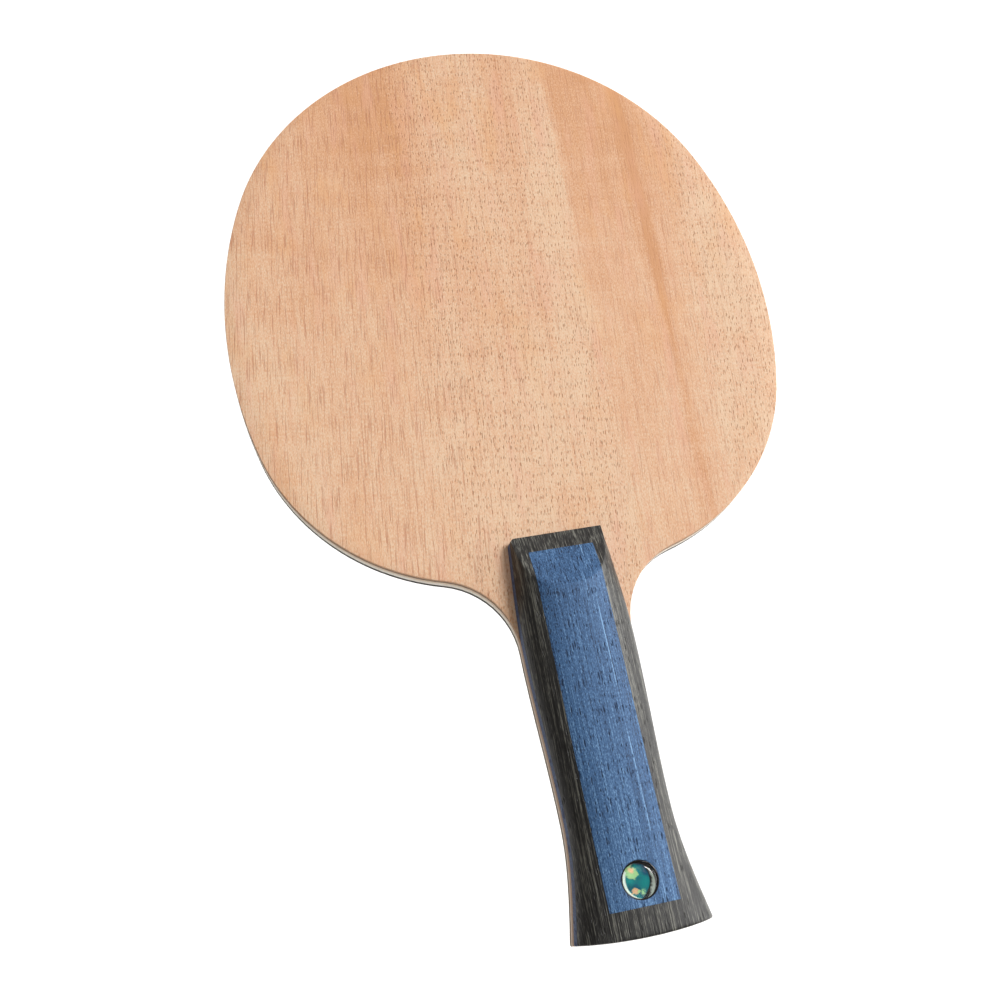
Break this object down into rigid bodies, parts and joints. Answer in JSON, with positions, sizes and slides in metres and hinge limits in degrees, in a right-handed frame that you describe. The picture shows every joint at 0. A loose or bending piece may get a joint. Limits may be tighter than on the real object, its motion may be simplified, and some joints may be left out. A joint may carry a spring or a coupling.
{
  "type": "table tennis blade",
  "caption": "Bare laminated table tennis blade with an oval head and a flared, crowned grip in black and blue dyed wood with a round badge.",
  "frame": {"origin": "centre of the whole paddle's box, on the blade's middle plane", "axes": "+X to the right seen from the front, +Y from the butt to the tip of the head, +Z out of the front face, which carries the badge"},
  "size_m": [0.1518, 0.2566, 0.0237],
  "materials": {
    "face_veneer": "fine sanded, unvarnished",
    "inner_veneer": "sanded edge",
    "core_wood": "sanded edge",
    "fibre_weave": "resin-bonded weave",
    "black_dyed_wood": "satin lacquer",
    "blue_dyed_wood": "satin lacquer",
    "badge_plastic": "gloss",
    "badge_foil": "metallic, iridescent",
    "badge_lens": "clear, polished"
  },
  "bodies": {
    "root": {"badge_cup": "badge_plastic", "badge_foil": "badge_foil", "badge_lens": "badge_lens", "core_ply": "core_wood", "face_ply_back": "face_veneer", "face_ply_front": "face_veneer", "fibre_ply_back": "fibre_weave", "fibre_ply_front": "fibre_weave", "grip_base_back": "blue_dyed_wood", "grip_base_front": "blue_dyed_wood", "grip_inlay_back": "blue_dyed_wood", "grip_inlay_front": "blue_dyed_wood", "grip_shell_back": "black_dyed_wood", "grip_shell_front": "black_dyed_wood", "inner_ply_back": "inner_veneer", "inner_ply_front": "inner_veneer"}
  },
  "joints": []
}
